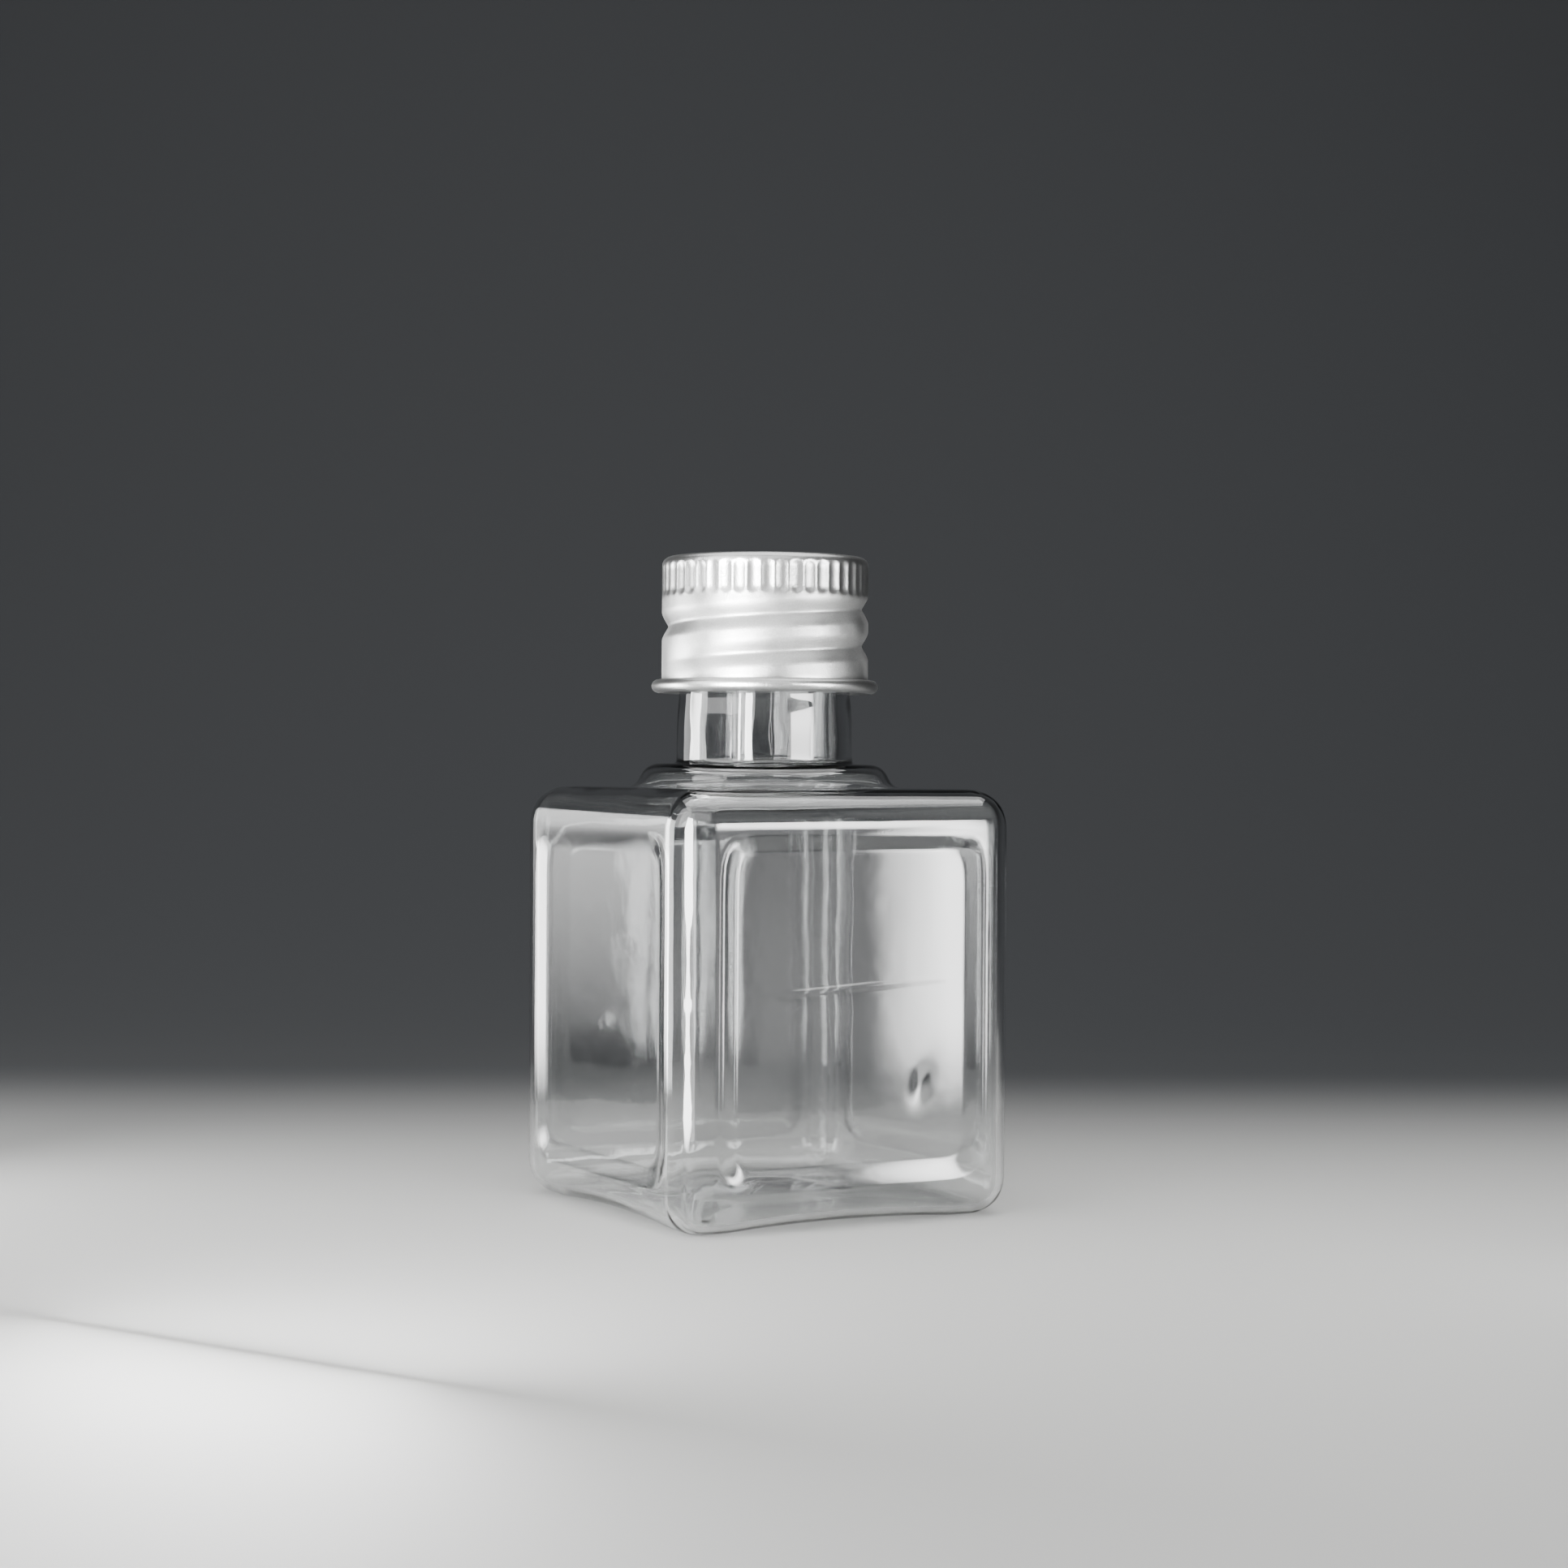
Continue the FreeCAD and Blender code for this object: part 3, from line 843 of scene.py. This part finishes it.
class BOTTLE_OT_liner(bpy.types.Operator):
    """Model the foam liner in the cap, with the ring that the rim presses into it"""

    bl_idname = "bottle.liner"
    bl_label = "Foam liner"

    def execute(self, context):
        deselect()
        thickness = LINER_HIGH.z - LINER_LOW.z
        bpy.ops.mesh.primitive_cylinder_add(vertices=96, radius=LINER_RADIUS, depth=thickness,
                                            location=(0, 0, LINER_LOW.z + thickness / 2))
        piece = start_piece("liner_foam")
        pick(piece, "edges", lambda edge: abs(edge.verts[0].co.z - edge.verts[1].co.z) < 0.1 * MM)
        bpy.ops.mesh.bevel(offset=LINER_EDGE, segments=3, affect="EDGES")
        pick(piece, "faces", lambda face: face.normal.z < -0.99)
        for width, depth in LINER_RINGS:
            bpy.ops.mesh.inset(thickness=width * MM, depth=-depth * MM)
        bpy.ops.object.mode_set(mode="OBJECT")
        bpy.ops.object.shade_smooth_by_angle(angle=math.radians(40))
        finish_piece(piece, "liner", "cap_liner", foam_liner())
        return {"FINISHED"}


# Floor, light and camera

# The bottle is turned by this yaw, pitch and roll before the camera, and its base lies this far off:
# to the right, away and up.
CAMERA_YAW = math.radians(29.2)
CAMERA_PITCH = math.radians(0.42)
CAMERA_ROLL = math.radians(0.36)
CAMERA_OFFSET = Vector((-2.24, 288.9, -41.74)) * MM


def camera_turn():
    """Turns the CAD frame into the camera's: X to the right, Y away from the camera, Z up."""
    return (Matrix.Rotation(CAMERA_ROLL, 3, "Y") @ Matrix.Rotation(CAMERA_PITCH, 3, "X")
            @ Matrix.Rotation(CAMERA_YAW, 3, "Z"))


# The paper sweep: its width, how far it runs behind and before the bottle, how high it rises, and its bend.
FLOOR_WIDTH = 3.0
FLOOR_BACK = 0.45
FLOOR_FRONT = 1.0
BACKDROP_HEIGHT = 1.6
SWEEP_RADIUS = 0.3

# The corners of the soft boxes, as seen from the camera: right, away and up.
FRONT_BOX = ((-0.4, -0.72, 0.06), (0.4, -0.72, 0.06), (0.4, -0.47, 0.66), (-0.4, -0.47, 0.66))
TOP_BOX = ((-0.3, -0.2, 0.45), (0.3, -0.2, 0.45), (0.3, 0.25, 0.45), (-0.3, 0.25, 0.45))
LEFT_BOX = ((-0.46, -0.06, 0.1), (-0.2, -0.42, 0.1), (-0.2, -0.42, 0.5), (-0.46, -0.06, 0.5))

# The cards stand close round the bottle. Each has a (bearing, distance) for its two upright edges.
RIGHT_CARD = ((34, 0.11), (61, 0.095))
RIGHT_BACK_CARD = ((68, 0.094), (61, 0.095))
LEFT_CARD = ((-126, 0.1), (-90, 0.1))
CORNER_CARD = ((-42, 0.083), (-15, 0.087))
SIDE_CARD_HEIGHT = 0.062
CORNER_CARD_HEIGHT = 0.067
# A card fades out below this level, down to the floor.
CARD_FOOT = 0.014
CORNER_CARD_FOOT = 0.004


def lit_cloth(name, glow, dim_share, ramps=(), foot=CARD_FOOT):
    """Lit cloth at a dim share of its glow, which ramps can brighten, and which fades out below its foot.

    A ramp is a direction, its two ends and its peak share.
    """
    material, tree, output, coordinates = new_material(name + "_cloth")
    share = None
    for direction, low, high, peak in ramps:
        along = add_node(tree, "ShaderNodeVectorMath", {"operation": "DOT_PRODUCT"}, {1: direction},
                         {0: coordinates}).outputs["Value"]
        ramp = add_node(tree, "ShaderNodeMapRange", {"interpolation_type": "SMOOTHSTEP"},
                        {"From Min": low, "From Max": high, "To Min": dim_share, "To Max": peak},
                        {"Value": along}).outputs["Result"]
        if share:
            ramp = add_node(tree, "ShaderNodeMath", {"operation": "MAXIMUM"},
                            links={0: share, 1: ramp}).outputs[0]
        share = ramp
    levels = add_node(tree, "ShaderNodeSeparateXYZ", links={"Vector": coordinates}).outputs["Z"]
    above = add_node(tree, "ShaderNodeMapRange", {"interpolation_type": "SMOOTHSTEP"},
                     {"From Min": 0.0, "From Max": foot, "To Max": glow}, {"Value": levels}).outputs["Result"]
    strength = add_node(tree, "ShaderNodeMath", {"operation": "MULTIPLY"}, {1: dim_share}, {0: above})
    if share:
        tree.links.new(share, strength.inputs[1])
    shader = add_node(tree, "ShaderNodeEmission", links={"Strength": strength.outputs[0]})
    tree.links.new(shader.outputs["Emission"], output.inputs["Surface"])
    return material


def from_camera(place):
    """A place or direction given as seen from the camera, right, away and up, in the CAD frame."""
    return Matrix.Rotation(-CAMERA_YAW, 3, "Z") @ Vector(place)


def add_panel(name, corners, cloth, lights_floor):
    """A lit panel through four corners, which the camera doesn't see.

    One that doesn't light the floor shows only as gloss: in the bottle, in the cap and faintly on the paper.
    """
    mesh = bpy.data.meshes.new(name)
    mesh.from_pydata([from_camera(corner) for corner in corners], [], [(0, 1, 2, 3)])
    panel = bpy.data.objects.new(name, mesh)
    bpy.context.collection.objects.link(panel)
    mesh.materials.append(cloth)
    panel.visible_camera = False
    panel.visible_diffuse = lights_floor
    panel.visible_shadow = lights_floor


def add_card(name, edges, height, glow, dim_share, upwards=None, sideways=None, foot=CARD_FOOT):
    """An upright lit card just above the floor, between two (bearing, distance) edges round the bottle.

    Bearings turn to the right from the camera, in degrees. The card can brighten upwards from one level to
    another, and sideways from one share of its width to another; each gives its two ends and its peak share.
    """
    feet = []
    for bearing, distance in edges:
        angle = math.radians(bearing)
        feet.append(Vector((distance * math.sin(angle), -distance * math.cos(angle), MM)))
    first, last = feet
    width = (last - first).length
    along = (last - first) / width
    ramps = []
    if upwards:
        ramps.append((UP, *upwards))
    if sideways:
        low, high, peak = sideways
        start = first.dot(along)
        ramps.append((from_camera(along), start + low * width, start + high * width, peak))
    rise = UP * height
    cloth = lit_cloth(name, glow, dim_share, ramps, foot)
    add_panel(name, [first, last, last + rise, first + rise], cloth, False)


class BOTTLE_OT_stage(bpy.types.Operator):
    """Set up the floor, the soft light and the camera"""

    bl_idname = "bottle.stage"
    bl_label = "Stage"

    def execute(self, context):
        settings = context.scene.stage_settings
        deselect()
        bpy.ops.mesh.primitive_plane_add(size=1)
        floor = bpy.context.active_object
        floor.name = "floor_sweep"
        floor.scale = (FLOOR_WIDTH, 2 * FLOOR_BACK, 1)
        bpy.ops.object.transform_apply(location=True, rotation=True, scale=True)
        bpy.ops.object.mode_set(mode="EDIT")
        pick(floor, "edges", lambda edge: middle(edge).y > FLOOR_BACK - MM)
        bpy.ops.mesh.extrude_edges_move(TRANSFORM_OT_translate={"value": (0, 0, BACKDROP_HEIGHT)})
        pick(floor, "edges", lambda edge: middle(edge).y < MM - FLOOR_BACK)
        bpy.ops.mesh.extrude_edges_move(TRANSFORM_OT_translate={"value": (0, -FLOOR_FRONT, 0)})
        pick(floor, "edges", lambda edge: abs(middle(edge).y - FLOOR_BACK) < MM and abs(middle(edge).z) < MM)
        bpy.ops.mesh.bevel(offset=SWEEP_RADIUS, segments=24, affect="EDGES")
        bpy.ops.object.mode_set(mode="OBJECT")
        floor.rotation_euler.z = -CAMERA_YAW
        bpy.ops.object.transform_apply(location=True, rotation=True, scale=True)
        bpy.ops.object.shade_smooth()
        # The paper carries painted shade behind the bottle.
        floor.data.materials.append(paper_with_painted_shade(settings.floor_colour, settings.backdrop_shade_colour))
        glow = settings.card_glow
        dim = settings.dim_share
        add_card("card_right", RIGHT_CARD, SIDE_CARD_HEIGHT, glow, dim,
                 upwards=(0.036, 0.055, 1.0), sideways=(0.8, 1.05, 1.0))
        add_card("card_right_back", RIGHT_BACK_CARD, SIDE_CARD_HEIGHT, glow, 0.0,
                 sideways=(0.1, 0.95, 1.0))
        add_card("card_left", LEFT_CARD, SIDE_CARD_HEIGHT, glow, 0.0,
                 upwards=(0.0, 0.055, 3 * dim), sideways=(0.42, 0.8, 1.0))
        add_card("card_corner", CORNER_CARD, CORNER_CARD_HEIGHT, 2 * glow, 1.0, foot=CORNER_CARD_FOOT)
        brighter_upwards = [(UP, 0.06, 0.46, 1.0)]
        add_panel("softbox_front", FRONT_BOX,
                  lit_cloth("softbox_front", settings.front_glow, 0.0, brighter_upwards), True)
        add_panel("softbox_top", TOP_BOX, lit_cloth("softbox_top", settings.top_glow, 1.0), True)
        add_panel("softbox_left", LEFT_BOX, lit_cloth("softbox_left", settings.left_glow, 1.0), False)
        world = bpy.data.worlds.new("studio")
        world.use_nodes = True
        world.node_tree.nodes["Background"].inputs["Color"].default_value = linear("#F4F6F8")
        world.node_tree.nodes["Background"].inputs["Strength"].default_value = settings.room_glow
        context.scene.world = world
        turn = camera_turn()
        right, away, up = turn.row[0], turn.row[1], turn.row[2]
        place = -(turn.transposed() @ CAMERA_OFFSET)
        bpy.ops.object.camera_add()
        camera = bpy.context.active_object
        camera.name = "camera"
        basis = Matrix((right, up, -away)).transposed().to_4x4()
        camera.matrix_world = Matrix.Translation(place) @ basis
        camera.data.sensor_fit = "HORIZONTAL"
        camera.data.sensor_width = 36
        camera.data.lens = settings.focal_length
        camera.data.clip_start = 0.01
        context.scene.camera = camera
        return {"FINISHED"}


class BOTTLE_PT_panel(bpy.types.Panel):
    """Lists the steps that build the bottle"""

    bl_idname = "BOTTLE_PT_panel"
    bl_label = "Clear square bottle"
    bl_space_type = "VIEW_3D"
    bl_region_type = "UI"
    bl_category = "Bottle"

    def draw(self, context):
        for operator in OPERATORS:
            self.layout.operator(operator.bl_idname)
        for group_name, group in GROUPS.items():
            box = self.layout.box()
            for name in group.__annotations__:
                box.prop(getattr(context.scene, group_name), name)


OPERATORS = (BOTTLE_OT_bottle, BOTTLE_OT_cap, BOTTLE_OT_liner, BOTTLE_OT_stage)
GROUPS = {"bottle_sizes": BottleSizes, "cap_sizes": CapSizes, "stage_settings": StageSettings}


def register():
    for group in GROUPS.values():
        bpy.utils.register_class(group)
    for name, group in GROUPS.items():
        setattr(bpy.types.Scene, name, bpy.props.PointerProperty(type=group))
    for operator in OPERATORS:
        bpy.utils.register_class(operator)
    bpy.utils.register_class(BOTTLE_PT_panel)


def unregister():
    bpy.utils.unregister_class(BOTTLE_PT_panel)
    for operator in reversed(OPERATORS):
        bpy.utils.unregister_class(operator)
    for name, group in GROUPS.items():
        delattr(bpy.types.Scene, name)
        bpy.utils.unregister_class(group)


def main():
    register()
    bpy.ops.bottle.bottle()
    bpy.ops.bottle.cap()
    bpy.ops.bottle.liner()
    bpy.ops.bottle.stage()


if __name__ == "__main__":
    main()
